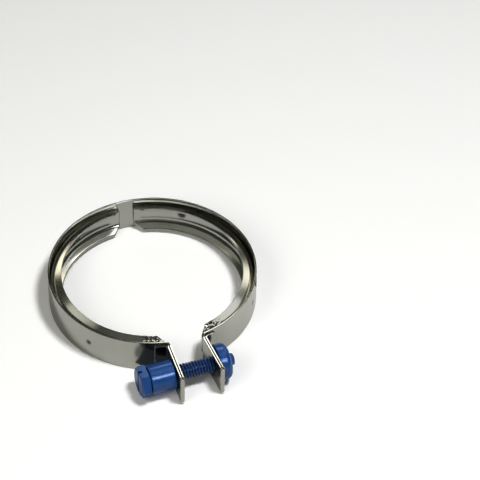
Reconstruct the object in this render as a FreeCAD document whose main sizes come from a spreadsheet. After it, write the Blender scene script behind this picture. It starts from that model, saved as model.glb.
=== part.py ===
import FreeCAD, Part
import math
import os

import Sketcher
from FreeCAD import Placement, Rotation, Vector

document = FreeCAD.newDocument("turbo_clamp")
sizes = document.addObject("Spreadsheet::Sheet", "sizes")

# Driving sizes, in millimetres and degrees.
# The ring's axis is Z with z = 0 at mid-height, the lugs point to -Y and the screw lies along X.
driving = [
    ("ring_outside_radius", 53.0, "outside of the band"),
    ("strip_thickness", 1.0, "sheet of the band"),
    ("band_width", 19.0, "band along the ring's axis"),
    ("lug_width", 16.5, "folded lugs and tabs, narrower than the band"),
    ("lug_step", 0.1, "from the band's outside to the start of the narrow part"),
    ("fold_gap", 0.2, "between the two layers of a lug"),
    ("lug_gap", 17.4, "clear distance between the lugs at the screw"),
    ("lug_splay", 2.7, "lean of each lug away from the other"),
    ("lug_beyond_screw", 12.8, "from the screw to the folded end"),
    ("lug_corner_radius", 1.6, "rounded corners of the folded end"),
    ("tab_bend_radius", 0.6, "inside of the bend between lug and tab"),
    ("tab_length", 5.5, "tab that lies on the band"),
    ("tab_corner_radius", 2.2, "rounded corners of the tab"),
    ("nut_to_tab", 1.05, "clearance that sets the screw's distance from the ring"),
    ("screw_hole_radius", 4.3, "hole through both layers of a lug"),
    ("segment_thickness", 1.2, "sheet of the V segments"),
    ("segment_bend_radius", 2.8, "inside of the bend between web and leg"),
    ("leg_lean", 20.0, "lean of a leg from the ring's plane"),
    ("channel_depth", 6.0, "from the band to the cut edge of the legs"),
    ("lip_half_width", 7.75, "outer corner of the cut edge"),
    ("left_back_angle", 91.2, "back end of the left segment"),
    ("right_back_angle", 82.7, "back end of the right segment"),
    ("segment_inset", 0.4, "front end of a segment behind the lug's inner face"),
    ("corner_cut", 4.6, "length of the slanting cut at a leg's end"),
    ("thread_radius", 4.0, "M8 thread, major radius"),
    ("thread_clearance", 0.05, "thread to the bores that hold it, radial"),
    ("seat_clearance", 0.02, "between faces that bear on each other"),
    ("sleeve_radius", 7.5, "spacer sleeve, outside"),
    ("sleeve_length", 12.6, "spacer sleeve"),
    ("sleeve_chamfer", 0.5, "both rims of the sleeve"),
    ("nut_radius", 9.25, "round nut, outside"),
    ("nut_height", 6.1, "round nut"),
    ("nut_rounding", 2.6, "outer rim of the nut"),
    ("nut_chamfer", 0.6, "mouths of the nut's bore"),
    ("hex_across_flats", 14.5, "screw head"),
    ("head_height", 5.2, "screw head with its bearing face"),
    ("bearing_radius", 6.4, "bearing face under the head"),
    ("bearing_height", 0.5, "bearing face under the head"),
    ("head_chamfer", 1.0, "depth of the chamfer at the hexagon's corners"),
    ("slot_width", 1.4, "slot across the head"),
    ("slot_depth", 2.0, "slot across the head"),
    ("tip_radius", 3.1, "plain tip of the screw"),
    ("tip_length", 2.6, "plain tip of the screw"),
    ("tip_rounding", 0.9, "rim of the tip"),
    ("tip_reach", 2.8, "screw beyond the nut"),
]

for row, (alias, number, meaning) in enumerate(driving, start=1):
    sizes.set(f"A{row}", meaning)
    sizes.set(f"B{row}", str(number))
    sizes.setAlias(f"B{row}", alias)
document.recompute()

# Roundings that go round a circle are drawn as chords, which stay within 0.05 mm of the arc.
CHORDS = 4

# Formulas used by more than one piece.
HALF_GAP = "sizes.lug_gap / 2"
SPLAY = "sizes.lug_splay * 1 deg"
LAYER = "(sizes.strip_thickness + sizes.fold_gap)"
LUG_FACE = f"({HALF_GAP} + ({LAYER} + sizes.strip_thickness) / cos({SPLAY}))"
BORE_RADIUS = "(sizes.thread_radius + sizes.thread_clearance)"
SLEEVE_SEAT = f"({LUG_FACE} + sizes.sleeve_radius * tan({SPLAY}) + sizes.seat_clearance)"
NUT_SEAT = f"({LUG_FACE} + sizes.nut_radius * tan({SPLAY}) + sizes.seat_clearance)"
HEAD_SEAT = f"({SLEEVE_SEAT} + sizes.sleeve_length + sizes.seat_clearance)"
WEB_RADIUS = "(sizes.ring_outside_radius - sizes.strip_thickness)"
LIP_RADIUS = f"({WEB_RADIUS} - sizes.channel_depth)"
SCREW_LINE = f"(sizes.ring_outside_radius + {LAYER} + sizes.nut_radius + sizes.nut_to_tab)"
LUG_END = f"({SCREW_LINE} + sizes.lug_beyond_screw)"
FRONT_ANGLE = f"asin(({HALF_GAP} + sizes.segment_inset) / {WEB_RADIUS})"


def value(formula):
    """Present value of a formula."""
    result = document.sizes.evalExpression(formula.replace("sizes.", ""))
    return float(getattr(result, "Value", result))


def bind(owner, target, formula):
    """Tie a property, or one number inside it, to the sheet."""
    owner.setExpression(target, formula)


def new_body(name):
    """Body of one sub-part, labelled with the name of its file."""
    body = document.addObject("PartDesign::Body", name)
    body.Label = name
    return body


def origin_plane(body, role):
    """One of the body's own origin planes."""
    return next(item for item in body.Origin.OriginFeatures if item.Role == role)


def new_sketch(body, name, role):
    """Empty sketch on one of the body's origin planes."""
    sketch = body.newObject("Sketcher::SketchObject", f"{body.Name}_{name}")
    sketch.AttachmentSupport = [(origin_plane(body, role), "")]
    sketch.MapMode = "FlatFace"
    return sketch


def new_feature(body, kind, name):
    """PartDesign feature at the end of the body."""
    return body.newObject(f"PartDesign::{kind}", f"{body.Name}_{name}")


def dimension(sketch, kind, places, formula):
    """Dimension whose value follows the sheet."""
    number = value(formula)
    if kind == "Angle":
        number = math.radians(number)
    index = sketch.addConstraint(Sketcher.Constraint(kind, *places, number))
    bind(sketch, f"Constraints[{index}]", formula)


def fix_coordinate(sketch, geometry, point, kind, formula):
    """Hold one coordinate of a point, measured from the sketch's origin."""
    number = value(formula)
    if abs(number) < 1e-9:
        axis = -2 if kind == "DistanceX" else -1
        sketch.addConstraint(Sketcher.Constraint("PointOnObject", geometry, point, axis))
    elif number > 0:
        dimension(sketch, kind, (-1, 1, geometry, point), formula)
    else:
        dimension(sketch, kind, (geometry, point, -1, 1), f"-({formula})")


def polygon(sketch, corners):
    """Closed outline of straight lines, with each corner given by two formulas."""
    points = [Vector(value(across), value(up), 0) for across, up in corners]
    first = sketch.GeometryCount
    lines = [
        Part.LineSegment(points[index], points[(index + 1) % len(points)])
        for index in range(len(points))
    ]
    sketch.addGeometry(lines, False)
    for index, (across, up) in enumerate(corners):
        following = first + (index + 1) % len(points)
        sketch.addConstraint(Sketcher.Constraint("Coincident", first + index, 2, following, 1))
        fix_coordinate(sketch, first + index, 1, "DistanceX", across)
        fix_coordinate(sketch, first + index, 1, "DistanceY", up)


def circle(sketch, across, up, radius):
    """Circle whose centre and radius are formulas."""
    centre = Vector(value(across), value(up), 0)
    index = sketch.addGeometry(Part.Circle(centre, Vector(0, 0, 1), value(radius)), False)
    fix_coordinate(sketch, index, 3, "DistanceX", across)
    fix_coordinate(sketch, index, 3, "DistanceY", up)
    dimension(sketch, "Radius", (index,), radius)


def rounding(across, up, radius, start, end):
    """Corners of a rounding drawn as short chords, from one angle to the other."""
    turns = [f"({start} + {step} / {CHORDS} * ({end} - ({start})))" for step in range(CHORDS + 1)]
    return [(f"{across} + {radius} * cos({turn})", f"{up} + {radius} * sin({turn})") for turn in turns]


def arc(centre, radius, start, end):
    """Arc between two angles in degrees, counter-clockwise."""
    whole = Part.Circle(centre, Vector(0, 0, 1), radius)
    return Part.ArcOfCircle(whole, math.radians(start), math.radians(end))


def mirror(body, name, originals, role):
    """Mirror features of the body across one of its origin planes."""
    mirrored = new_feature(body, "Mirrored", name)
    mirrored.Originals = originals
    mirrored.MirrorPlane = (origin_plane(body, role), [""])
    body.Tip = mirrored
    document.recompute()
    return mirrored


def cut_through(body, name, sketch):
    """Pocket through the whole body, to both sides of the sketch."""
    pocket = new_feature(body, "Pocket", name)
    pocket.Profile = sketch
    pocket.Type = "ThroughAll"
    pocket.SideType = "Symmetric"
    document.recompute()
    return pocket


def revolve(body, kind, name, sketch, axis, angle="360 deg", symmetric=False):
    """Revolution or Groove of a sketch about one of its own axes."""
    feature = new_feature(body, kind, name)
    feature.Profile = sketch
    feature.ReferenceAxis = (sketch, [axis])
    feature.Midplane = symmetric
    bind(feature, "Angle", angle)
    document.recompute()
    return feature


def chosen_edges(shape, belongs):
    """Names of the edges for which the test holds."""
    return [f"Edge{index}" for index, edge in enumerate(shape.Edges, start=1) if belongs(edge)]


def soften(body, kind, name, base, size_name, formula, belongs):
    """Fillet or Chamfer on the edges of the base for which the test holds."""
    feature = new_feature(body, kind, name)
    feature.Base = (base, chosen_edges(base.Shape, belongs))
    bind(feature, size_name, formula)
    document.recompute()
    return feature


def strip_path(body):
    """Centre line of the left half of the strip: ring, lug, fold, second layer and tab."""
    path = new_sketch(body, "path", "XY_Plane")
    ring_formula = "sizes.ring_outside_radius - sizes.strip_thickness / 2"
    bend_formula = f"sizes.tab_bend_radius + sizes.strip_thickness / 2 + {LAYER}"
    half_gap_formula = f"{HALF_GAP} + sizes.strip_thickness / 2 / cos({SPLAY})"
    fold_formula = f"{LUG_END} - sizes.strip_thickness / 2 - {LAYER} / 2"
    ring = value(ring_formula)
    bend = value(bend_formula)
    layer = value(LAYER)
    lug_x = -value(half_gap_formula)
    fold_y = -value(fold_formula)

    centre = Vector(0, 0, 0)
    bend_x = lug_x - bend
    bend_y = -math.sqrt((ring + bend) ** 2 - bend_x ** 2)
    bend_centre = Vector(bend_x, bend_y, 0)
    ring_end = 360 + math.degrees(math.atan2(bend_y, bend_x))
    tab_angle = math.degrees(value("sizes.tab_length") / (ring + layer))
    path.addGeometry([
        arc(centre, ring, 90, ring_end),
        arc(bend_centre, bend, 0, ring_end - 180),
        Part.LineSegment(Vector(lug_x, bend_y, 0), Vector(lug_x, fold_y, 0)),
        arc(Vector(lug_x - layer / 2, fold_y, 0), layer / 2, 180, 360),
        Part.LineSegment(Vector(lug_x - layer, fold_y, 0), Vector(lug_x - layer, bend_y, 0)),
        arc(bend_centre, bend - layer, 0, ring_end - 180),
        arc(centre, ring + layer, ring_end - tab_angle, ring_end),
    ], False)
    ring_arc, lug_bend, inner_layer, fold, outer_layer, tab_bend, tab = range(7)
    start, end, middle = 1, 2, 3
    joins = [
        ("Coincident", ring_arc, middle, -1, 1),
        ("PointOnObject", ring_arc, start, -2),
        ("Tangent", ring_arc, end, lug_bend, end),
        ("Tangent", lug_bend, start, inner_layer, start),
        ("Tangent", inner_layer, end, fold, end),
        ("Tangent", fold, start, outer_layer, start),
        ("Parallel", inner_layer, outer_layer),
        ("Tangent", outer_layer, end, tab_bend, start),
        ("Coincident", tab_bend, middle, lug_bend, middle),
        ("Tangent", tab_bend, end, tab, end),
        ("Coincident", tab, middle, -1, 1),
    ]
    path.addConstraint([Sketcher.Constraint(*join) for join in joins])
    dimension(path, "Radius", (ring_arc,), ring_formula)
    dimension(path, "Radius", (lug_bend,), bend_formula)
    dimension(path, "Radius", (fold,), f"{LAYER} / 2")
    dimension(path, "Angle", (inner_layer,), f"-90 deg - {SPLAY}")
    fix_coordinate(path, fold, middle, "DistanceY", f"-({fold_formula})")
    dimension(path, "Distance", (tab, start, tab, end), "sizes.tab_length")

    # The gap between the lugs is measured at the screw.
    screw_y = -value(SCREW_LINE)
    at_screw = path.addGeometry(Part.Point(Vector(lug_x, screw_y, 0)), True)
    path.addConstraint(Sketcher.Constraint("PointOnObject", at_screw, 1, inner_layer))
    fix_coordinate(path, at_screw, 1, "DistanceX", f"-({half_gap_formula})")
    fix_coordinate(path, at_screw, 1, "DistanceY", f"-{SCREW_LINE}")
    return path


def make_band():
    """Band, lugs and tabs: one strip, folded back on itself at both ends."""
    body = new_body("band")
    path = strip_path(body)
    section = new_sketch(body, "section", "YZ_Plane")
    half_width = "sizes.band_width / 2"
    polygon(section, [
        (WEB_RADIUS, f"-{half_width}"),
        ("sizes.ring_outside_radius", f"-{half_width}"),
        ("sizes.ring_outside_radius", half_width),
        (WEB_RADIUS, half_width),
    ])
    document.recompute()
    strip = new_feature(body, "AdditivePipe", "strip")
    strip.Profile = section
    strip.Spine = path
    document.recompute()
    mirror(body, "both_halves", [strip], "YZ_Plane")

    # Lugs and tabs are narrower than the ring.
    narrowing = new_sketch(body, "narrowing", "XZ_Plane")
    inside = "sizes.ring_outside_radius + sizes.lug_step"
    outside = f"{LUG_END} * 1.2"
    for side in ("", "-"):
        polygon(narrowing, [
            (inside, f"{side}sizes.lug_width / 2"),
            (outside, f"{side}sizes.lug_width / 2"),
            (outside, f"{side}sizes.band_width"),
            (inside, f"{side}sizes.band_width"),
        ])
    revolve(body, "Groove", "narrow_lugs", narrowing, "V_Axis")

    # The fold's two corners are rounded.
    corners = new_sketch(body, "corners", "YZ_Plane")
    radius = value("sizes.lug_corner_radius")
    far = -value(LUG_END)
    for side in (1, -1):
        edge = side * value("sizes.lug_width / 2")
        turning = Vector(far + radius, edge - side * radius, 0)
        first = corners.GeometryCount
        span = (90, 180) if side > 0 else (180, 270)
        corners.addGeometry([
            arc(turning, radius, *span),
            Part.LineSegment(Vector(far, edge - side * radius, 0), Vector(far, edge, 0)),
            Part.LineSegment(Vector(far, edge, 0), Vector(far + radius, edge, 0)),
        ], False)
        at_fold = 2 if side > 0 else 1
        corners.addConstraint([
            Sketcher.Constraint("Tangent", first, at_fold, first + 1, 1),
            Sketcher.Constraint("Coincident", first + 1, 2, first + 2, 1),
            Sketcher.Constraint("Tangent", first, 3 - at_fold, first + 2, 2),
            Sketcher.Constraint("Vertical", first + 1),
            Sketcher.Constraint("Horizontal", first + 2),
        ])
        dimension(corners, "Radius", (first,), "sizes.lug_corner_radius")
        fix_coordinate(corners, first + 2, 1, "DistanceX", f"-{LUG_END}")
        sign = "" if side > 0 else "-"
        fix_coordinate(corners, first + 2, 1, "DistanceY", f"{sign}sizes.lug_width / 2")
    return body, corners


def finish_band(body, corners):
    """Holes, rounded corners and tab ends of the band."""
    cut_through(body, "rounded_fold", corners)
    holes = new_sketch(body, "holes", "YZ_Plane")
    circle(holes, f"-{SCREW_LINE}", "0", "sizes.screw_hole_radius")
    drilled = cut_through(body, "screw_holes", holes)

    half_lug = value("sizes.lug_width / 2")
    thickness = value("sizes.strip_thickness")
    tab_x = value(f"{LUG_FACE} + sizes.tab_bend_radius")

    def at_tab_corner(edge):
        middle = edge.CenterOfMass
        return (
            abs(abs(middle.z) - half_lug) < 1e-4
            and abs(edge.Length - thickness) < 1e-3
            and abs(middle.x) > tab_x
            and middle.y > -value(SCREW_LINE)
        )

    soften(body, "Fillet", "tab_corners", drilled, "Radius", "sizes.tab_corner_radius", at_tab_corner)


def make_segment(name, span, middle_angle):
    """V segment: rolled channel, widening towards the ring's axis, welded inside the band."""
    body = new_body(name)
    outline = new_sketch(body, "outline", "XZ_Plane")
    lean = "sizes.leg_lean * 1 deg"
    inside = "sizes.segment_bend_radius"
    outside = f"({inside} + sizes.segment_thickness)"
    turn_x = f"({WEB_RADIUS} - {outside})"
    leg_rise = f"({turn_x} + {outside} * sin({lean}) - {LIP_RADIUS}) * tan({lean})"
    web_top = f"(sizes.lip_half_width - {leg_rise} - {outside} * cos({lean}))"
    inner_drop = f"sizes.segment_thickness / cos({lean})"
    corners = [(WEB_RADIUS, "0")]
    corners += rounding(turn_x, web_top, outside, "0 deg", f"90 deg - {lean}")
    corners += [
        (LIP_RADIUS, "sizes.lip_half_width"),
        (LIP_RADIUS, f"sizes.lip_half_width - {inner_drop}"),
    ]
    corners += rounding(turn_x, web_top, inside, f"90 deg - {lean}", "0 deg")
    corners += [(f"{WEB_RADIUS} - sizes.segment_thickness", "0")]
    polygon(outline, corners)
    document.recompute()
    upper = revolve(body, "Revolution", "upper_half", outline, "V_Axis", span, symmetric=True)
    mirror(body, "both_legs", [upper], "XY_Plane")

    # At both ends the legs are cut back on a slant, and the web keeps its full length.
    corner = new_sketch(body, "corner", "XY_Plane")
    bind(corner, "AttachmentOffset.Rotation.Angle", f"({span}) / 2")
    web_inside = f"({WEB_RADIUS} - sizes.segment_thickness)"
    clear = "sizes.segment_thickness"
    polygon(corner, [
        (f"{web_inside} - sizes.segment_thickness / 4", "0"),
        (f"{web_inside} - sizes.segment_thickness / 4", clear),
        (f"{LIP_RADIUS} - {clear}", clear),
        (f"{LIP_RADIUS} - {clear}", f"-sizes.corner_cut - {clear}"),
    ])
    pocket = cut_through(body, "slanted_end", corner)
    mirror(body, "both_ends", [pocket], "XZ_Plane")
    body.Placement = Placement(Vector(0, 0, 0), Rotation(Vector(0, 0, 1), 1))
    bind(body, "Placement.Rotation.Angle", middle_angle)
    return body


def make_screw():
    """M8 screw with a slotted hexagon head; x = 0 is the face that bears on the sleeve."""
    body = new_body("clamp_screw")
    length = f"({HEAD_SEAT} + {NUT_SEAT} + sizes.nut_height + sizes.tip_reach)"
    shoulder = f"({length} - sizes.tip_length)"
    taper = "(sizes.thread_radius - sizes.tip_radius)"
    tip_x = f"{length} - sizes.tip_rounding"
    tip_y = "sizes.tip_radius - sizes.tip_rounding"
    outline = new_sketch(body, "outline", "XZ_Plane")
    polygon(outline, [
        ("-sizes.bearing_height", "0"),
        ("-sizes.bearing_height", "sizes.bearing_radius"),
        ("0", "sizes.bearing_radius"),
        ("0", "sizes.thread_radius"),
        (shoulder, "sizes.thread_radius"),
        (f"{shoulder} + {taper}", "sizes.tip_radius"),
        *rounding(tip_x, tip_y, "sizes.tip_rounding", "90 deg", "0 deg"),
        (length, "0"),
    ])
    revolve(body, "Revolution", "shank", outline, "H_Axis")

    hexagon = new_sketch(body, "hexagon", "YZ_Plane")
    bind(hexagon, "AttachmentOffset.Base.z", "-sizes.bearing_height")
    to_corner = "(sizes.hex_across_flats / 2 / cos(30 deg))"
    polygon(hexagon, [
        (f"{to_corner} * cos({angle} deg)", f"{to_corner} * sin({angle} deg)")
        for angle in range(0, 360, 60)
    ])
    head = new_feature(body, "Pad", "head")
    head.Profile = hexagon
    head.Reversed = True
    bind(head, "Length", "sizes.head_height - sizes.bearing_height")
    document.recompute()

    # A cone of 30 degrees takes the corners off the outer end.
    chamfer = new_sketch(body, "chamfer", "XZ_Plane")
    outer_end = "-sizes.head_height"
    beyond = f"({to_corner} + sizes.head_chamfer)"
    flank = f"({outer_end} + sizes.head_chamfer * 2)"
    polygon(chamfer, [
        (outer_end, f"{to_corner} - sizes.head_chamfer / tan(30 deg)"),
        (flank, f"{to_corner} + sizes.head_chamfer / tan(30 deg)"),
        (outer_end, f"{beyond} / tan(30 deg)"),
    ])
    revolve(body, "Groove", "head_chamfer_cut", chamfer, "H_Axis")

    slot = new_sketch(body, "slot", "YZ_Plane")
    bind(slot, "AttachmentOffset.Base.z", outer_end)
    half_slot = "sizes.slot_width / 2"
    polygon(slot, [
        (f"-{half_slot}", f"-{beyond}"),
        (half_slot, f"-{beyond}"),
        (half_slot, beyond),
        (f"-{half_slot}", beyond),
    ])
    pocket = new_feature(body, "Pocket", "slot_cut")
    pocket.Profile = slot
    pocket.Reversed = True
    bind(pocket, "Length", "sizes.slot_depth")
    document.recompute()
    bind(body, "Placement.Base.x", f"-{HEAD_SEAT}")
    bind(body, "Placement.Base.y", f"-{SCREW_LINE}")
    return body


def make_sleeve():
    """Spacer sleeve between the head and the left lug; x = 0 is the lug's side."""
    body = new_body("spacer_sleeve")
    outline = new_sketch(body, "outline", "XZ_Plane")
    polygon(outline, [
        ("-sizes.sleeve_length", BORE_RADIUS),
        ("-sizes.sleeve_length", "sizes.sleeve_radius - sizes.sleeve_chamfer"),
        ("-sizes.sleeve_length + sizes.sleeve_chamfer", "sizes.sleeve_radius"),
        ("-sizes.sleeve_chamfer", "sizes.sleeve_radius"),
        ("0", "sizes.sleeve_radius - sizes.sleeve_chamfer"),
        ("0", BORE_RADIUS),
    ])
    revolve(body, "Revolution", "turned", outline, "H_Axis")
    bind(body, "Placement.Base.x", f"-{SLEEVE_SEAT}")
    bind(body, "Placement.Base.y", f"-{SCREW_LINE}")
    return body


def make_nut():
    """Round nut on the right lug; x = 0 is the face that bears on the lug."""
    body = new_body("round_nut")
    dome_x = "sizes.nut_height - sizes.nut_rounding"
    dome_y = "sizes.nut_radius - sizes.nut_rounding"
    outline = new_sketch(body, "outline", "XZ_Plane")
    polygon(outline, [
        ("0", f"{BORE_RADIUS} + sizes.nut_chamfer"),
        ("0", "sizes.nut_radius"),
        *rounding(dome_x, dome_y, "sizes.nut_rounding", "90 deg", "0 deg"),
        ("sizes.nut_height", f"{BORE_RADIUS} + sizes.nut_chamfer"),
        ("sizes.nut_height - sizes.nut_chamfer", BORE_RADIUS),
        ("sizes.nut_chamfer", BORE_RADIUS),
    ])
    revolve(body, "Revolution", "turned", outline, "H_Axis")
    bind(body, "Placement.Base.x", NUT_SEAT)
    bind(body, "Placement.Base.y", f"-{SCREW_LINE}")
    return body


band, fold_corners = make_band()
finish_band(band, fold_corners)
left_span = f"270 deg - {FRONT_ANGLE} - sizes.left_back_angle * 1 deg"
right_span = f"90 deg - {FRONT_ANGLE} + sizes.right_back_angle * 1 deg"
left_middle = f"sizes.left_back_angle * 1 deg + ({left_span}) / 2"
right_middle = f"sizes.right_back_angle * 1 deg - ({right_span}) / 2"
subparts = [
    band,
    make_segment("v_segment_left", left_span, left_middle),
    make_segment("v_segment_right", right_span, right_middle),
    make_screw(),
    make_sleeve(),
    make_nut(),
]
document.recompute()

os.makedirs("parts", exist_ok=True)
for item in document.Objects:
    if "Invalid" in item.State or "Error" in item.State:
        raise RuntimeError(f"{item.Name} is not valid: {item.State}")
for subpart in subparts:
    if subpart.Shape.isNull() or not subpart.Shape.isValid():
        raise RuntimeError(f"{subpart.Label} has no valid solid")
    subpart.Shape.exportStep(f"parts/{subpart.Label}.step")
    box = subpart.Shape.BoundBox
    print(subpart.Label, len(subpart.Shape.Solids), "solid", round(subpart.Shape.Volume, 1), "mm3",
          [round(number, 2) for number in (box.XMin, box.XMax, box.YMin, box.YMax, box.ZMin, box.ZMax)])
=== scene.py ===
import math

import bmesh
import bpy
from mathutils import Matrix, Vector, noise


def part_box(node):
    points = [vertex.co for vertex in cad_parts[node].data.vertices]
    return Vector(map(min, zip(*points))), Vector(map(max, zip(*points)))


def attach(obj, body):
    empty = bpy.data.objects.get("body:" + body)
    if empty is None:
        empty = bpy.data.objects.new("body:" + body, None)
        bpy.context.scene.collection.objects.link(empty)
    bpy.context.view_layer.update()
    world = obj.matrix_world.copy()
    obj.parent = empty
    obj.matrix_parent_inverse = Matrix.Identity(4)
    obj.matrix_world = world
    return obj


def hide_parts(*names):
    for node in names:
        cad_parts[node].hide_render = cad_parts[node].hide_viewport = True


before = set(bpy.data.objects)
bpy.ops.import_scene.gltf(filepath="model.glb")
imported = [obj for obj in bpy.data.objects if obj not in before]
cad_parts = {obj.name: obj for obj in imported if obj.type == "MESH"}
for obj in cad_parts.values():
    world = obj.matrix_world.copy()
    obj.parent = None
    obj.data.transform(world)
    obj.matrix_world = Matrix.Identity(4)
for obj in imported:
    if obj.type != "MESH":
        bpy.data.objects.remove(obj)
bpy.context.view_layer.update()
mm = 0.001
print("frame loaded:", sorted(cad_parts))

# Lengths in the dictionaries are millimetres, angles are degrees.
bandLow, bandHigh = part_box("band")
screwLow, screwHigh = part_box("clamp_screw")
sleeveLow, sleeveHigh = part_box("spacer_sleeve")
nutLow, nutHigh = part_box("round_nut")
ringRadius = bandHigh.x / mm
halfBand = bandHigh.z / mm
lugEnd = -bandLow.y / mm
screwLine = (sleeveLow.y + sleeveHigh.y) / 2 / mm


def meshObject(name, verts, faces):
    mesh = bpy.data.meshes.new(name)
    mesh.from_pydata([Vector(v) * mm for v in verts], [], faces)
    mesh.validate()
    bm = bmesh.new()
    bm.from_mesh(mesh)
    bmesh.ops.remove_doubles(bm, verts=bm.verts, dist=0.002 * mm)
    bmesh.ops.recalc_face_normals(bm, faces=bm.faces)
    for face in bm.faces:
        face.smooth = True
    bm.to_mesh(mesh)
    bm.free()
    obj = bpy.data.objects.new(name, mesh)
    bpy.context.scene.collection.objects.link(obj)
    return obj


def sweep(name, stations, closed=False):
    # each station is the same number of points round the section
    count = len(stations[0])
    verts = [point for station in stations for point in station]
    faces = []
    last = len(stations) if closed else len(stations) - 1
    for row in range(last):
        a = row * count
        b = (row + 1) % len(stations) * count
        for i in range(count):
            j = (i + 1) % count
            faces.append((a + i, a + j, b + j, b + i))
    if not closed:
        faces.append(tuple(range(count)))
        faces.append(tuple(range(last * count, last * count + count)))
    return meshObject(name, verts, faces)


def weightedNormals(obj):
    normals = obj.modifiers.new("flat faces stay flat", "WEIGHTED_NORMAL")
    normals.weight = 60
    normals.keep_sharp = True


def applyModifiers(obj):
    bpy.context.view_layer.update()
    graph = bpy.context.evaluated_depsgraph_get()
    mesh = bpy.data.meshes.new_from_object(obj.evaluated_get(graph))
    obj.modifiers.clear()
    obj.data = mesh


def smoothStep(low, high, x):
    t = min(max((x - low) / (high - low), 0.0), 1.0)
    return t * t * (3 - 2 * t)


# the strip: ring, lugs folded back on themselves and tabs
bandSet = {
    "thickness": 1.0,
    "rows": 30,              # quads across the strip's width
    "ringStep": 0.5,         # degrees between stations of the ring
    "edgeRadius": 0.26,
    "lugEdgeRadius": 0.2,
    "lugWidth": 16.5,
    "foldGap": 0.2,
    "lugGap": 17.4,
    "splay": 2.7,
    "foldCorner": 1.6,
    "tabBend": 0.6,
    "tabLength": 5.5,
    "tabCorner": 2.2,
    "holeRadius": 4.3,
    "holeSides": 72,
    "drillLength": 60.0,     # reaches through both lugs
    "bendRoom": 2.0,         # from the bend's inner wall to where the ring is round again
    "wave": 0.012,           # unevenness of the rolled strip
    "slowWave": (0.05, 0.11, 2.2),      # per mm round the ring, per mm up, share
    "quickWave": (0.16, 0.3, 0.8),
    "wrinkle": (0.45, 0.16),            # per mm round the ring, per mm up
    "evenEdge": 0.86,        # share of the half width where the unevenness starts to fade
    "edgeShare": 0.3,        # what is left of it at the edge
    "pullReach": 16.0,       # length of ring, next to a lug, that the forming has wrinkled
    "pull": 0.05,
}

weldSet = {
    "radius": 1.5,
    "depth": 0.14,
    # degrees round the ring
    "outside": (214.7, 161.0, 118.0, 62.0, 10.0, -36.0),
    "inside": (214.7, 161.0, 118.0, 53.8, 10.0, -36.0),
}


def arcPoints(centre, radius, start, end, step):
    count = max(2, math.ceil(abs(end - start) / step))
    points = []
    for i in range(count + 1):
        angle = math.radians(start + (end - start) * i / count)
        points.append((centre[0] + radius * math.cos(angle), centre[1] + radius * math.sin(angle)))
    return points


def linePoints(start, end, step):
    length = math.dist(start, end)
    count = max(1, math.ceil(length / step))
    return [
        (start[0] + (end[0] - start[0]) * i / count, start[1] + (end[1] - start[1]) * i / count)
        for i in range(count + 1)
    ]


def leftPath():
    # centre line of the left half, from the ring's back to the end of the tab
    half = bandSet["thickness"] / 2
    ring = ringRadius - half
    layer = bandSet["thickness"] + bandSet["foldGap"]
    bend = bandSet["tabBend"] + half + layer
    splay = math.radians(bandSet["splay"])
    outward = Vector((-math.sin(splay), -math.cos(splay)))
    side = Vector((-math.cos(splay), math.sin(splay)))
    atScrew = Vector((-(bandSet["lugGap"] / 2 + half / math.cos(splay)), screwLine))
    start = atScrew + side * bend
    along = start.dot(outward)
    reach = ring + bend
    back = math.sqrt(along ** 2 - start.dot(start) + reach ** 2)
    bendCentre = start + outward * (back - along)
    ringEnd = 360 + math.degrees(math.atan2(bendCentre.y, bendCentre.x))
    foldY = -(lugEnd - half - layer / 2)
    line = atScrew + side * (layer / 2)
    foldCentre = line + outward * ((foldY - line.y) / outward.y)
    lean = bandSet["splay"]
    tabAngle = math.degrees(bandSet["tabLength"] / (ring + layer))
    path = arcPoints((0, 0), ring, 90, ringEnd, bandSet["ringStep"])
    path += arcPoints(bendCentre, bend, ringEnd - 180, -lean, 6)
    path += linePoints(bendCentre - side * bend, foldCentre - side * (layer / 2), 0.5)
    path += arcPoints(foldCentre, layer / 2, -lean, -180 - lean, 15)
    path += linePoints(foldCentre + side * (layer / 2), bendCentre - side * (bend - layer), 0.5)
    path += arcPoints(bendCentre, bend - layer, -lean, ringEnd - 180, 8)
    path += arcPoints((0, 0), ring + layer, ringEnd, ringEnd - tabAngle, 0.25)
    clean = [Vector(path[0])]
    for point in path[1:]:
        if (Vector(point) - clean[-1]).length > 0.01:
            clean.append(Vector(point))
    return clean


def halfWidthAt(point, toEnd):
    radius = point.length
    lug = bandSet["lugWidth"] / 2
    width = halfBand + (lug - halfBand) * smoothStep(ringRadius - 0.1, ringRadius + 0.7, radius)
    corner = bandSet["foldCorner"]
    into = min(max(-point.y - (lugEnd - corner), 0.0), corner)
    width -= corner - math.sqrt(corner ** 2 - into ** 2)
    corner = bandSet["tabCorner"]
    into = min(max(corner - toEnd, 0.0), corner * 0.999)
    width -= corner - math.sqrt(corner ** 2 - into ** 2)
    return width


def dent(angle, height, places):
    # depth of the shallow round hollow of a spot weld
    deepest = 0.0
    for place in places:
        away = (angle - place + 180) % 360 - 180
        gap = math.hypot(math.radians(away) * ringRadius, height)
        if gap < weldSet["radius"] * 1.4:
            rim = weldSet["radius"]
            bowl = 1 - smoothStep(rim * 0.72, rim * 1.02, gap)
            lip = math.exp(-((gap - rim * 1.08) / 0.22) ** 2) * 0.22
            deepest += bowl - lip
    return deepest * weldSet["depth"]


def paint(obj, rule):
    # how dark each point is, from 0 to 1; the materials read it
    layer = obj.data.attributes.new("shade", "FLOAT", "POINT")
    layer.data.foreach_set("value", [rule(*(vertex.co / mm)) for vertex in obj.data.vertices])


def burnt(x, y, z, places, radius):
    # discoloured steel round a spot weld
    angle = math.degrees(math.atan2(y, x))
    dark = 0.0
    for place in places:
        away = (angle - place + 180) % 360 - 180
        gap = math.hypot(math.radians(away) * ringRadius, z)
        dark = max(dark, 1 - smoothStep(radius * 0.6, radius * 1.25, gap))
    return dark


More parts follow.
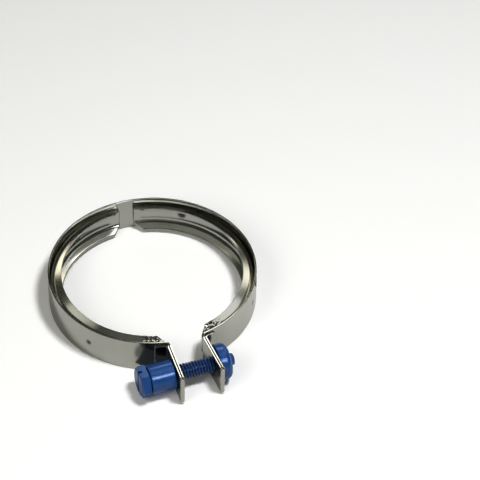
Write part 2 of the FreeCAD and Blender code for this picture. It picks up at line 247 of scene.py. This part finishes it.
def unevenness(x, y, z, nearLug):
    slow, slowUp, slowShare = bandSet["slowWave"]
    quick, quickUp, quickShare = bandSet["quickWave"]
    fold, foldUp = bandSet["wrinkle"]
    big = noise.noise(Vector((x * slow, y * slow, z * slowUp)))
    small = noise.noise(Vector((x * quick + 7, y * quick, z * quickUp)))
    pulled = noise.noise(Vector((x * fold, y * fold + 3, z * foldUp)))
    return bandSet["wave"] * (slowShare * big + quickShare * small) + bandSet["pull"] * nearLug * pulled


def roundedSection(halfThick, halfWidth, rows, radius):
    # points (across, up, side): side tells the outer face (1) from the inner one (-1)
    thick = halfThick - radius
    flat = halfWidth - radius

    def corner(across, up, start, steps):
        turns = [math.radians(start + 30 * i) for i in steps]
        return [(across + radius * math.cos(turn), up + radius * math.sin(turn), 0) for turn in turns]

    points = [(halfThick, -flat + 2 * flat * i / rows, 1) for i in range(rows + 1)]
    points += corner(thick, flat, 0, range(1, 4))
    points += corner(-thick, flat, 90, range(4))
    points += [(-halfThick, flat - 2 * flat * i / rows, -1) for i in range(1, rows + 1)]
    points += corner(-thick, -flat, 180, range(1, 4))
    points += corner(thick, -flat, 270, range(3))
    return points


def makeBand():
    left = leftPath()
    path = [Vector((-point.x, point.y)) for point in reversed(left[1:])] + left
    lengths = [0.0]
    for i in range(1, len(path)):
        lengths.append(lengths[-1] + (path[i] - path[i - 1]).length)
    half = bandSet["thickness"] / 2
    lugStart = bandSet["lugGap"] / 2 + bandSet["tabBend"] + bandSet["bendRoom"]
    stations = []
    for i, point in enumerate(path):
        before = path[max(i - 1, 0)]
        after = path[min(i + 1, len(path) - 1)]
        along = (after - before).normalized()
        outward = Vector((along.y, -along.x))
        toEnd = min(lengths[i], lengths[-1] - lengths[i])
        width = halfWidthAt(point, toEnd)
        onRing = point.length < ringRadius and not (abs(point.x) < lugStart and point.y < 0)
        angle = math.degrees(math.atan2(point.y, point.x))
        fromLug = abs(point.x) - lugStart
        nearLug = 1 - smoothStep(0, bandSet["pullReach"], fromLug) if point.y < 0 else 0.0
        onLug = smoothStep(ringRadius - 0.6, ringRadius + 0.4, point.length)
        rounding = bandSet["edgeRadius"] + (bandSet["lugEdgeRadius"] - bandSet["edgeRadius"]) * onLug
        station = []
        for across, up, face in roundedSection(half, width, bandSet["rows"], rounding):
            if onRing:
                inward = 1 - smoothStep(bandSet["evenEdge"], 1.0, abs(up) / width)
                share = bandSet["edgeShare"] + (1 - bandSet["edgeShare"]) * inward
                across += unevenness(point.x, point.y, up, nearLug) * share
                if face == 1:
                    across -= dent(angle, up, weldSet["outside"])
            place = point + outward * across
            station.append((place.x, place.y, up))
        stations.append(station)
    band = sweep("strip_ring", stations)

    # screw holes through both layers of each lug
    bpy.ops.mesh.primitive_cylinder_add(
        vertices=bandSet["holeSides"], radius=bandSet["holeRadius"] * mm, depth=bandSet["drillLength"] * mm,
        location=(0, screwLine * mm, 0), rotation=(0, math.pi / 2, 0),
    )
    drill = bpy.context.object
    cut = band.modifiers.new("screw holes", "BOOLEAN")
    cut.object = drill
    cut.solver = "EXACT"
    applyModifiers(band)
    bpy.data.objects.remove(drill)

    def darkness(x, y, z):
        onOutside = math.hypot(x, y) > ringRadius - half
        return burnt(x, y, z, weldSet["outside"], weldSet["radius"]) if onOutside else 0.0

    paint(band, darkness)
    weightedNormals(band)
    return band


# V segments: rolled channels that widen towards the axis
segmentSet = {
    "thickness": 1.2,
    "bendRadius": 2.8,
    "legLean": 20.0,
    "lipRadius": 46.0,
    "lipHalfWidth": 7.75,
    "cutStart": 50.5,        # radius at which the slanting cut leaves the legs
    "cutSlope": 1.0175,
    "bendSteps": 10,
    "webRows": 14,
    "legRows": 12,
    "edgeRadius": 0.35,
    "frontAngle": 10.08,     # from the middle of the gap between the lugs
    "leftBack": 91.2,
    "rightBack": 82.7,
    "step": 0.5,
    "wave": 0.02,
    "waveAround": 0.12,      # per mm round the ring
    "waveUp": 0.2,           # per mm up
    "crumple": 0.85,         # forming marks in the sheet at the front ends
    "crumpleReach": 19.0,
    "insideMark": 2.4,       # radius and height of the dark weld marks on the web
    "markHeight": 1.0,
    "shadedEndHalf": 7.0,      # half height of the painted shade on the web's sheared ends
}


def segmentProfile():
    # (radius, height) round the section, starting at the web's outer face
    outside = ringRadius - bandSet["thickness"]
    thick = segmentSet["thickness"]
    inner = segmentSet["bendRadius"]
    outer = inner + thick
    lean = math.radians(segmentSet["legLean"])
    lip = segmentSet["lipRadius"]
    top = segmentSet["lipHalfWidth"]
    turnR = outside - outer
    webTop = top - (turnR + outer * math.sin(lean) - lip) * math.tan(lean) - outer * math.cos(lean)
    edge = segmentSet["edgeRadius"]
    steps = segmentSet["bendSteps"]
    turns = [(90 - segmentSet["legLean"]) * i / steps for i in range(steps + 1)]
    legEnd = Vector((lip, top))
    legInnerEnd = Vector((lip, top - thick / math.cos(lean)))
    along = Vector((-math.cos(lean), math.sin(lean)))

    def bend(radius):
        angles = [math.radians(turn) for turn in turns]
        return [Vector((turnR + radius * math.cos(a), webTop + radius * math.sin(a))) for a in angles]

    def run(start, end, count):
        return [start.lerp(end, i / count) for i in range(1, count)]

    outerBend = bend(outer)
    innerBend = bend(inner)
    upper = list(outerBend)
    upper += run(outerBend[-1], legEnd - along * edge, segmentSet["legRows"])
    upper += [
        legEnd - along * edge,
        legEnd + Vector((edge * 0.3, -edge * 0.12)),
        legEnd + Vector((0, -edge)),
    ]
    upper += [
        legInnerEnd + Vector((0, edge)),
        legInnerEnd + Vector((edge * 0.3, edge * 0.12)),
        legInnerEnd - along * edge,
    ]
    upper += run(legInnerEnd - along * edge, innerBend[-1], segmentSet["legRows"])
    upper += list(reversed(innerBend))
    rows = segmentSet["webRows"]
    heights = [webTop - 2 * webTop * i / rows for i in range(1, rows)]
    web = [Vector((outside - thick, height)) for height in heights]
    lower = [Vector((point.x, -point.y)) for point in reversed(upper)]
    back = [Vector((outside, -height)) for height in heights]
    return upper + web + lower + back


def crumple(spot, fromFront):
    # folds that the forming has left in the sheet near a front end
    nearEnd = 1 - smoothStep(0, segmentSet["crumpleReach"], fromFront)
    fold = noise.noise(spot * 0.55 + Vector((0, 0, 9))) + 0.6 * noise.noise(spot * 1.1)
    return segmentSet["crumple"] * nearEnd * fold


def makeSegment(name, start, end):
    # the front end is the one nearer to the lugs
    front = start if start < 0 else end
    profile = segmentProfile()
    span = end - start
    count = math.ceil(span / segmentSet["step"])
    inside = ringRadius - bandSet["thickness"] - segmentSet["thickness"]
    stations = []
    for i in range(count + 1):
        station = []
        for point in profile:
            back = max(segmentSet["cutStart"] - point.x, 0) * segmentSet["cutSlope"]
            trim = math.degrees(back / point.x)
            angle = start + trim + (span - 2 * trim) * i / count
            turn = math.radians(angle)
            around, upward = segmentSet["waveAround"], segmentSet["waveUp"]
            wave = segmentSet["wave"] * noise.noise(Vector((
                point.x * math.cos(turn) * around,
                point.x * math.sin(turn) * around,
                point.y * upward + 20,
            )))
            radius = point.x
            if point.x < inside + 0.05:
                fade = smoothStep(segmentSet["lipRadius"], inside, point.x)
                radius += wave * fade * 0.4
                if abs(point.y) < weldSet["radius"] * 1.3 and point.x > inside - 0.05:
                    radius += dent(angle, point.y, weldSet["inside"])
            height = point.y + wave * (1 - smoothStep(inside - 2, inside, point.x)) * 1.5
            spot = Vector((radius * math.cos(turn), radius * math.sin(turn), point.y))
            fromFront = math.radians(abs(angle - front)) * ringRadius
            onLeg = 1 - smoothStep(inside - 1.5, inside + 0.6, point.x)
            height += crumple(spot, fromFront) * onLeg
            station.append((radius * math.cos(turn), radius * math.sin(turn), height))
        stations.append(station)
    segment = sweep(name, stations)

    def darkness(x, y, z):
        # weld marks on the web, and painted shade on the web's sheared ends
        radius = math.hypot(x, y)
        if radius < inside - 0.06:
            return 0.0
        angle = math.degrees(math.atan2(y, x))
        fromEnd = min((angle - start) % 360, (end - angle) % 360)
        # painted shade: the sheared ends take the full dark colour
        if fromEnd < segmentSet["step"] * 0.3 and abs(z) < segmentSet["shadedEndHalf"]:
            return 1.0
        if radius > inside + 0.3:
            return 0.0
        return burnt(x, y, z - segmentSet["markHeight"], weldSet["inside"], segmentSet["insideMark"])

    paint(segment, darkness)
    weightedNormals(segment)
    return segment


# screw, sleeve and nut, all turned about the screw's line
screwSet = {
    "threadRadius": 4.0,
    "threadPitch": 1.5,      # spacing of the ridges as they look
    "threadDepth": 0.9,
    "shank": 9.0,            # plain length under the head, then the thread runs in
    "runout": 2.0,
    "sides": 64,
    "perPitch": 14,
    "headFlats": 14.5,
    "headHeight": 5.2,
    "bearingHeight": 0.75,
    "bearingRadius": 6.0,
    "headChamfer": 1.0,
    "slotWidth": 1.4,
    "slotDepth": 2.0,
    "edgeBevel": 0.28,
    "tipRadius": 3.1,
    "tipLength": 2.6,
    "tipRounding": 0.9,
}


def circle(x, radius, sides):
    turns = [2 * math.pi * i / sides for i in range(sides)]
    return [(x, screwLine + radius * math.cos(turn), radius * math.sin(turn)) for turn in turns]


def makeThread():
    # ridges follow a helix, fading out at the tip and under the head
    start = screwLow.x / mm + screwSet["headHeight"]
    end = screwHigh.x / mm
    shoulder = end - screwSet["tipLength"]
    pitch = screwSet["threadPitch"]
    step = pitch / screwSet["perPitch"]
    sides = screwSet["sides"]
    threadStart = start + screwSet["shank"]
    stations = []
    x = start - 0.2
    while x < shoulder:
        fade = smoothStep(threadStart, threadStart + screwSet["runout"], x)
        fade *= 1 - smoothStep(shoulder - 1.0, shoulder - 0.1, x)
        station = []
        for i in range(sides):
            turn = 2 * math.pi * i / sides
            phase = (x / pitch - i / sides) % 1
            flank = abs(phase - 0.5) * 2
            groove = smoothStep(0.15, 0.72, flank)
            radius = screwSet["threadRadius"] - screwSet["threadDepth"] * groove * fade
            taper = smoothStep(shoulder - 0.8, shoulder, x)
            radius += (screwSet["tipRadius"] - radius) * taper
            station.append((x, screwLine + radius * math.cos(turn), radius * math.sin(turn)))
        stations.append(station)
        x += step
    tip = screwSet["tipRadius"]
    rounding = screwSet["tipRounding"]
    profile = [(shoulder, tip), (end - rounding, tip)]
    for degrees in range(15, 91, 15):
        turn = math.radians(degrees)
        profile.append((
            end - rounding + rounding * math.sin(turn),
            tip - rounding + rounding * math.cos(turn),
        ))
    profile.append((end, tip * 0.35))
    stations += [circle(x, radius, sides) for x, radius in profile]
    thread = sweep("screw_thread", stations)

    def darkness(x, y, z):
        # painted shade in the roots of the thread
        depth = (screwSet["threadRadius"] - math.hypot(y - screwLine, z)) / screwSet["threadDepth"]
        return smoothStep(0.15, 0.9, depth) if x < shoulder - 1.0 else 0.0

    paint(thread, darkness)
    return thread


def makeHead():
    outer = screwLow.x / mm
    seat = outer + screwSet["headHeight"]
    under = seat - screwSet["bearingHeight"]
    corner = screwSet["headFlats"] / 2 / math.cos(math.radians(30))
    head = sweep("screw_head", [circle(x, corner, 6) for x in (outer, under)])

    # a shallow cone takes the corners off the outer end
    slope = math.tan(math.radians(30))
    chamfer = screwSet["headChamfer"]
    coneReach = 30.0
    coneDepth = (coneReach + chamfer / slope) * slope
    bpy.ops.mesh.primitive_cone_add(
        vertices=96, radius1=(corner + coneReach) * mm, radius2=(corner - chamfer / slope) * mm,
        depth=coneDepth * mm,
        location=((outer + coneDepth / 2) * mm, screwLine * mm, 0),
        rotation=(0, -math.pi / 2, 0),
    )
    cone = bpy.context.object
    keep = head.modifiers.new("corners", "BOOLEAN")
    keep.operation = "INTERSECT"
    keep.object = cone
    keep.solver = "EXACT"
    applyModifiers(head)
    bpy.data.objects.remove(cone)

    bpy.ops.mesh.primitive_cube_add(size=1, location=(outer * mm, screwLine * mm, 0))
    slot = bpy.context.object
    slot.scale = (screwSet["slotDepth"] * 2 * mm, screwSet["slotWidth"] * mm, 40 * mm)
    saw = head.modifiers.new("slot", "BOOLEAN")
    saw.object = slot
    saw.solver = "EXACT"
    applyModifiers(head)
    bpy.data.objects.remove(slot)
    soft = head.modifiers.new("soft edges", "BEVEL")
    soft.width = screwSet["edgeBevel"] * mm
    soft.segments = 3
    soft.limit_method = "ANGLE"
    soft.angle_limit = math.radians(25)
    weightedNormals(head)

    washer = turned("bearing_face", [
        (under - 0.3, screwSet["bearingRadius"] - 0.6), (under - 0.3, screwSet["bearingRadius"]),
        (seat, screwSet["bearingRadius"]), (seat, screwSet["threadRadius"] - 0.5),
    ], 0.08)
    return [head, washer]


def turned(name, profile, bevel, sides=96):
    # closed half profile (x, radius) turned about the screw's line
    stations = []
    for i in range(sides):
        turn = 2 * math.pi * i / sides
        stations.append([(x, screwLine + r * math.cos(turn), r * math.sin(turn)) for x, r in profile])
    obj = sweep(name, stations, closed=True)
    if bevel:
        soft = obj.modifiers.new("soft edges", "BEVEL")
        soft.width = bevel * mm
        soft.segments = 3
        soft.limit_method = "ANGLE"
        soft.angle_limit = math.radians(30)
    weightedNormals(obj)
    return obj


sleeveSet = {
    "boreRadius": 4.05,
    "chamfer": 0.35,
    "bevel": 0.2,
}


def makeSleeve():
    left, right = sleeveLow.x / mm, sleeveHigh.x / mm
    radius = sleeveHigh.z / mm
    bore = sleeveSet["boreRadius"]
    c = sleeveSet["chamfer"]
    return turned("sleeve_tube", [
        (left, bore), (left, radius - c), (left + c, radius),
        (right - c, radius), (right, radius - c), (right, bore),
    ], sleeveSet["bevel"])


nutSet = {
    "boreRadius": 4.05,
    "rounding": 2.6,
    "boreChamfer": 0.6,
    "steps": 10,
}


def makeNut():
    left, right = nutLow.x / mm, nutHigh.x / mm
    radius = nutHigh.z / mm
    bore = nutSet["boreRadius"]
    c = nutSet["boreChamfer"]
    r = nutSet["rounding"]
    profile = [(left + c, bore), (left, bore + c), (left, radius - 0.3), (left + 0.3, radius)]
    for i in range(nutSet["steps"] + 1):
        turn = math.radians(90 * i / nutSet["steps"])
        profile.append((right - r + r * math.sin(turn), radius - r + r * math.cos(turn)))
    profile += [(right, bore + c), (right - c, bore)]
    return turned("nut_body", profile, 0)


# materials
steelSet = {
    "base": (0.56, 0.56, 0.53),
    "second": (0.45, 0.45, 0.41),
    "dark": (0.07, 0.062, 0.05),    # burnt round the spot welds; also the painted shade on the sheared ends
    "inMetal": 1.0,
    "metallic": 1.0,
    "specular": 0.5,
    "roughness": 0.15,
    "roughSpread": 0.05,
    "stretch": 0.08,
    "bump": 0.03,
    "bumpHeight": 0.02,
}

blueSet = {
    "base": (0.006, 0.054, 0.225),
    "second": (0.010, 0.074, 0.29),
    "dark": (0.001, 0.006, 0.045),  # painted shade in the roots of the thread
    "inMetal": 0.25,                # how bright the blue is in the polished steel: painted shade, the blue is darker only in reflections
    "metallic": 0.15,
    "specular": 0.5,
    "roughness": 0.25,
    "roughSpread": 0.05,
    "stretch": 1.0,
    "bump": 0.06,
    "bumpHeight": 0.02,
}


def surfaceGroup():
    # fine rolled grain and cloudy change of sheen, shared by the metals
    group = bpy.data.node_groups.new("rolledGrain", "ShaderNodeTree")
    for name, start in (("Size", 900.0), ("Stretch", 0.08), ("Cloud Size", 60.0)):
        socket = group.interface.new_socket(name, in_out="INPUT", socket_type="NodeSocketFloat")
        socket.default_value = start
    for name in ("Grain", "Cloud"):
        group.interface.new_socket(name, in_out="OUTPUT", socket_type="NodeSocketFloat")
    enter = group.nodes.new("NodeGroupInput")
    leave = group.nodes.new("NodeGroupOutput")
    place = group.nodes.new("ShaderNodeTexCoord")
    apart = group.nodes.new("ShaderNodeSeparateXYZ")
    squeeze = group.nodes.new("ShaderNodeCombineXYZ")
    shrinkX = group.nodes.new("ShaderNodeMath")
    shrinkX.operation = "MULTIPLY"
    shrinkY = group.nodes.new("ShaderNodeMath")
    shrinkY.operation = "MULTIPLY"
    grain = group.nodes.new("ShaderNodeTexNoise")
    grain.inputs["Detail"].default_value = 3.0
    cloud = group.nodes.new("ShaderNodeTexNoise")
    cloud.inputs["Detail"].default_value = 2.0
    link = group.links.new
    link(place.outputs["Object"], apart.inputs[0])
    link(apart.outputs["X"], shrinkX.inputs[0])
    link(enter.outputs["Stretch"], shrinkX.inputs[1])
    link(apart.outputs["Y"], shrinkY.inputs[0])
    link(enter.outputs["Stretch"], shrinkY.inputs[1])
    link(shrinkX.outputs[0], squeeze.inputs["X"])
    link(shrinkY.outputs[0], squeeze.inputs["Y"])
    link(apart.outputs["Z"], squeeze.inputs["Z"])
    link(squeeze.outputs[0], grain.inputs["Vector"])
    link(enter.outputs["Size"], grain.inputs["Scale"])
    link(place.outputs["Object"], cloud.inputs["Vector"])
    link(enter.outputs["Cloud Size"], cloud.inputs["Scale"])
    link(grain.outputs["Fac"], leave.inputs["Grain"])
    link(cloud.outputs["Fac"], leave.inputs["Cloud"])
    return group


grainGroup = surfaceGroup()


def metalMaterial(name, settings):
    material = bpy.data.materials.new(name)
    material.use_nodes = True
    tree = material.node_tree
    shader = tree.nodes["Principled BSDF"]
    shader.inputs["Metallic"].default_value = settings["metallic"]
    shader.inputs["Specular IOR Level"].default_value = settings["specular"]
    grain = tree.nodes.new("ShaderNodeGroup")
    grain.node_tree = grainGroup
    grain.inputs["Stretch"].default_value = settings["stretch"]
    colour = tree.nodes.new("ShaderNodeMix")
    colour.data_type = "RGBA"
    colour.inputs["A"].default_value = (*settings["base"], 1)
    colour.inputs["B"].default_value = (*settings["second"], 1)
    shade = tree.nodes.new("ShaderNodeAttribute")
    shade.attribute_name = "shade"
    darker = tree.nodes.new("ShaderNodeMix")
    darker.data_type = "RGBA"
    darker.inputs["B"].default_value = (*settings["dark"], 1)
    # painted shade in reflections: the base colour is scaled by inMetal for glossy rays
    rays = tree.nodes.new("ShaderNodeLightPath")
    mirrored = tree.nodes.new("ShaderNodeMapRange")
    mirrored.inputs["To Min"].default_value = 1.0
    mirrored.inputs["To Max"].default_value = settings["inMetal"]
    seen = tree.nodes.new("ShaderNodeVectorMath")
    seen.operation = "SCALE"
    rough = tree.nodes.new("ShaderNodeMapRange")
    rough.inputs["To Min"].default_value = settings["roughness"] - settings["roughSpread"]
    rough.inputs["To Max"].default_value = settings["roughness"] + settings["roughSpread"]
    bump = tree.nodes.new("ShaderNodeBump")
    bump.inputs["Strength"].default_value = settings["bump"]
    bump.inputs["Distance"].default_value = settings["bumpHeight"] * mm
    link = tree.links.new
    link(grain.outputs["Cloud"], colour.inputs["Factor"])
    link(shade.outputs["Fac"], darker.inputs["Factor"])
    link(colour.outputs["Result"], darker.inputs["A"])
    link(darker.outputs["Result"], seen.inputs[0])
    link(rays.outputs["Is Glossy Ray"], mirrored.inputs["Value"])
    link(mirrored.outputs["Result"], seen.inputs["Scale"])
    link(seen.outputs["Vector"], shader.inputs["Base Color"])
    link(grain.outputs["Cloud"], rough.inputs["Value"])
    link(rough.outputs["Result"], shader.inputs["Roughness"])
    link(grain.outputs["Grain"], bump.inputs["Height"])
    link(bump.outputs["Normal"], shader.inputs["Normal"])
    return material


steel = metalMaterial("polished_stainless", steelSet)
blue = metalMaterial("blue_coating", blueSet)


def dress(obj, material, body):
    obj.data.materials.clear()
    obj.data.materials.append(material)
    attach(obj, body)


band = makeBand()
dress(band, steel, "ring")
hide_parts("band")
print("strip made")

frontAngle = segmentSet["frontAngle"]
for name, node, start, end in (
    ("channel_left", "v_segment_left", segmentSet["leftBack"], 270 - frontAngle),
    ("channel_right", "v_segment_right", frontAngle - 90, segmentSet["rightBack"]),
):
    segment = makeSegment(name, start, end)
    dress(segment, steel, "ring")
    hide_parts(node)
print("V segments made")

thread = makeThread()
screwPieces = [thread] + makeHead()
for piece in screwPieces:
    dress(piece, blue, "screw")
    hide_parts("clamp_screw")
sleeve = makeSleeve()
dress(sleeve, blue, "sleeve")
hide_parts("spacer_sleeve")
nut = makeNut()
dress(nut, blue, "ring")
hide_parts("round_nut")
print("screw, sleeve and nut made")

# studio: pale floor, soft lamps and reflector cards
studioSet = {
    "azimuth": -17.97,
    "elevation": 44.57,
    "distance": 1.2,
    "lens": 176.6,
    "turnLeft": -2.96,
    "turnUp": 1.01,
    "roll": -1.08,
    "floorSize": 1.4,
    "floorColour": (0.85, 0.85, 0.84),      # what it throws back onto the object
    "floorToCamera": (1.15, 1.15, 1.145),
    "floorGlow": 0.03,              # added where the camera looks at it
    "floorInMetal": (0.66, 0.66, 0.63),
    "floorGlowRise": (0.03, 0.12, 0.0, 0.65),   # painted glow of the floor in the metal, rising to the right: from and to, in metres and in strength
    "surroundings": (0.040, 0.043, 0.034),
}

# Lamps light the floor and the blue pieces, and only the cards show in the metal.
# Both stand round the object as the camera sees it: right, back, up.
lampSet = {
    "key": {
        "towards": (0.30, -0.17, 0.94), "distance": 1.0, "size": (0.18, 0.18),
        "radiance": 66.0, "colour": (1, 1, 1),
    },
    "fill": {
        "towards": (-0.50, -0.55, 0.67), "distance": 1.0, "size": (0.5, 0.5),
        "radiance": 3.6, "colour": (1.0, 0.98, 0.93),
    },
}
cardSet = {
    "above": {
        "towards": (-0.05, 0.10, 0.99), "distance": 1.0, "size": (0.50, 0.50),
        "radiance": 0.12, "colour": (1.0, 1.0, 0.90),
    },
    "right": {
        "towards": (0.40, 0.33, 0.86), "distance": 1.0, "size": (0.42, 0.50),
        "radiance": 1.15, "colour": (1.0, 1.0, 0.97),
    },
    "left": {
        "towards": (-0.44, 0.35, 0.82), "distance": 1.0, "size": (0.20, 0.30),
        "radiance": 0.95, "colour": (1.0, 0.98, 0.84),
    },
    "back_left": {
        "towards": (-0.43, 0.79, 0.45), "distance": 1.2, "size": (0.28, 0.28),
        "radiance": 2.4, "colour": (1.0, 0.92, 0.72),
    },
    "back_right": {
        "towards": (0.47, 0.66, 0.59), "distance": 1.2, "size": (0.24, 0.32),
        "radiance": 2.2, "colour": (1.0, 0.95, 0.80),
    },
    "far_right": {
        "towards": (0.36, 0.87, 0.35), "distance": 1.2, "size": (0.10, 0.26),
        "radiance": 2.0, "colour": (1.0, 0.97, 0.82),
    },
    "back": {
        "towards": (0.0, 0.99, 0.13), "distance": 1.0, "size": (1.2, 0.24),
        "radiance": 0.24, "colour": (0.97, 1.0, 0.93),
    },
    "lug_edges": {
        "towards": (0.137, 0.503, 0.853), "distance": 0.176, "size": (0.06, 0.05),
        "radiance": 4.0, "colour": (1.0, 0.99, 0.93),
    },
    "zenith": {
        "towards": (0.22, 0.03, 0.97), "distance": 1.0, "size": (0.14, 0.14),
        "radiance": 3.0, "colour": (1.0, 1.0, 0.95),
    },
    "on_blue": {
        "towards": (0.40, -0.56, 0.72), "distance": 1.0, "size": (0.20, 0.20),
        "radiance": 22.0, "colour": (0.85, 0.94, 1.0),
    },
    # painted shadow: a dark card, seen only in the metal, stands for the shaded floor left of the left lug
    "pocket_shadow": {
        "towards": (0.001, -0.061, -0.0093), "distance": 0.0617, "size": (0.020, 0.016),
        "radiance": 0.035, "colour": (0.7, 0.85, 1.0), "faces": (0, 0, 1),
    },
    "neighbour": {
        "towards": (0.068, 0.004, -0.0055), "distance": 0.0683, "size": (0.036, 0.008),
        "radiance": 0.02, "colour": (0.8, 1.0, 0.9), "faces": (0, -1, 0),
    },
    "front": {
        "towards": (0.05, -0.97, 0.22), "distance": 1.0, "size": (1.4, 0.30),
        "radiance": 0.35, "colour": (1.0, 1.0, 0.97),
    },
}


def besideCamera(towards):
    turn = Matrix.Rotation(math.radians(studioSet["azimuth"]), 3, "Z")
    return (turn @ Vector(towards)).normalized()


def makeCamera():
    data = bpy.data.cameras.new("camera")
    data.lens = studioSet["lens"]
    data.sensor_width = 36
    camera = bpy.data.objects.new("camera", data)
    bpy.context.scene.collection.objects.link(camera)
    azimuth = math.radians(studioSet["azimuth"])
    elevation = math.radians(studioSet["elevation"])
    back = Vector((
        math.sin(azimuth) * math.cos(elevation),
        -math.cos(azimuth) * math.cos(elevation),
        math.sin(elevation),
    ))
    aim = (-back).to_track_quat("-Z", "Y").to_matrix()
    right = aim @ Vector((1, 0, 0))
    yaw = Matrix.Rotation(math.radians(studioSet["turnLeft"]), 3, "Z")
    pitch = Matrix.Rotation(math.radians(studioSet["turnUp"]), 3, yaw @ right)
    pointed = pitch @ yaw @ aim
    roll = Matrix.Rotation(math.radians(studioSet["roll"]), 3, pointed @ Vector((0, 0, -1)))
    camera.matrix_world = Matrix.Translation(back * studioSet["distance"]) @ (roll @ pointed).to_4x4()
    bpy.context.scene.camera = camera


makeCamera()


def floorMaterial():
    # white paper; in the metal it is a mid grey with a painted glow that grows brighter to the right
    material = bpy.data.materials.new("pale_floor")
    material.use_nodes = True
    tree = material.node_tree
    shader = tree.nodes["Principled BSDF"]
    shader.inputs["Roughness"].default_value = 0.9
    shader.inputs["Specular IOR Level"].default_value = 0.1
    shader.inputs["Emission Color"].default_value = (1, 1, 0.98, 1)
    rays = tree.nodes.new("ShaderNodeLightPath")
    colour = tree.nodes.new("ShaderNodeMix")
    colour.data_type = "RGBA"
    colour.inputs["A"].default_value = (*studioSet["floorColour"], 1)
    colour.inputs["B"].default_value = (*studioSet["floorInMetal"], 1)
    direct = tree.nodes.new("ShaderNodeMix")
    direct.data_type = "RGBA"
    direct.inputs["B"].default_value = (*studioSet["floorToCamera"], 1)
    place = tree.nodes.new("ShaderNodeTexCoord")
    along = tree.nodes.new("ShaderNodeVectorMath")
    along.operation = "DOT_PRODUCT"
    along.inputs[1].default_value = besideCamera((1, 0, 0))
    rise = tree.nodes.new("ShaderNodeMapRange")
    rise.interpolation_type = "SMOOTHSTEP"
    for name, number in zip(("From Min", "From Max", "To Min", "To Max"), studioSet["floorGlowRise"]):
        rise.inputs[name].default_value = number
    metal = tree.nodes.new("ShaderNodeMath")
    metal.operation = "MULTIPLY"
    seen = tree.nodes.new("ShaderNodeMath")
    seen.operation = "MULTIPLY_ADD"
    seen.inputs[1].default_value = studioSet["floorGlow"]
    link = tree.links.new
    link(rays.outputs["Is Glossy Ray"], colour.inputs["Factor"])
    link(colour.outputs["Result"], direct.inputs["A"])
    link(rays.outputs["Is Camera Ray"], direct.inputs["Factor"])
    link(direct.outputs["Result"], shader.inputs["Base Color"])
    link(place.outputs["Object"], along.inputs[0])
    link(along.outputs["Value"], rise.inputs["Value"])
    link(rise.outputs["Result"], metal.inputs[0])
    link(rays.outputs["Is Glossy Ray"], metal.inputs[1])
    link(rays.outputs["Is Camera Ray"], seen.inputs[0])
    link(metal.outputs[0], seen.inputs[2])
    link(seen.outputs[0], shader.inputs["Emission Strength"])
    return material


def rectangle(name, wide, deep, height):
    mesh = bpy.data.meshes.new(name)
    x, y = wide / 2, deep / 2
    corners = [(-x, -y, height), (x, -y, height), (x, y, height), (-x, y, height)]
    mesh.from_pydata(corners, [], [(0, 1, 2, 3)])
    obj = bpy.data.objects.new(name, mesh)
    bpy.context.scene.collection.objects.link(obj)
    return obj


def makeFloor():
    floor = rectangle("floor", studioSet["floorSize"], studioSet["floorSize"], bandLow.z)
    floor.data.materials.append(floorMaterial())


makeFloor()


def makeWorld():
    # white to the camera, dim surroundings to everything that is lit or mirrored
    world = bpy.data.worlds.new("studio")
    world.use_nodes = True
    tree = world.node_tree
    dim = tree.nodes["Background"]
    dim.inputs["Color"].default_value = (*studioSet["surroundings"], 1)
    white = tree.nodes.new("ShaderNodeBackground")
    white.inputs["Color"].default_value = (1, 1, 1, 1)
    rays = tree.nodes.new("ShaderNodeLightPath")
    mix = tree.nodes.new("ShaderNodeMixShader")
    tree.links.new(rays.outputs["Is Camera Ray"], mix.inputs[0])
    tree.links.new(dim.outputs[0], mix.inputs[1])
    tree.links.new(white.outputs[0], mix.inputs[2])
    tree.links.new(mix.outputs[0], tree.nodes["World Output"].inputs["Surface"])
    bpy.context.scene.world = world


makeWorld()


def makeLamp(name, settings):
    data = bpy.data.lights.new(name, "AREA")
    data.shape = "RECTANGLE"
    data.size, data.size_y = settings["size"]
    data.color = settings["colour"]
    data.energy = settings["radiance"] * math.pi * data.size * data.size_y
    lamp = bpy.data.objects.new(name, data)
    bpy.context.scene.collection.objects.link(lamp)
    lamp.visible_glossy = False
    spot = besideCamera(settings["towards"])
    lamp.location = spot * settings["distance"]
    lamp.rotation_euler = (-spot).to_track_quat("-Z", "Y").to_euler()


def makeCard(name, settings):
    card = rectangle(name, *settings["size"], 0)
    spot = besideCamera(settings["towards"])
    card.location = spot * settings["distance"]
    facing = besideCamera(settings["faces"]) if "faces" in settings else -spot
    card.rotation_euler = facing.to_track_quat("-Z", "Y").to_euler()
    material = bpy.data.materials.new(name)
    material.use_nodes = True
    shader = material.node_tree.nodes["Principled BSDF"]
    shader.inputs["Base Color"].default_value = (0, 0, 0, 1)
    shader.inputs["Emission Color"].default_value = (*settings["colour"], 1)
    shader.inputs["Emission Strength"].default_value = settings["radiance"]
    card.data.materials.append(material)
    card.visible_camera = False
    card.visible_diffuse = False
    card.visible_shadow = False


for name, settings in lampSet.items():
    makeLamp(name, settings)
for name, settings in cardSet.items():
    makeCard(name, settings)

scene = bpy.context.scene
scene.view_settings.view_transform = "Standard"

print("studio made")
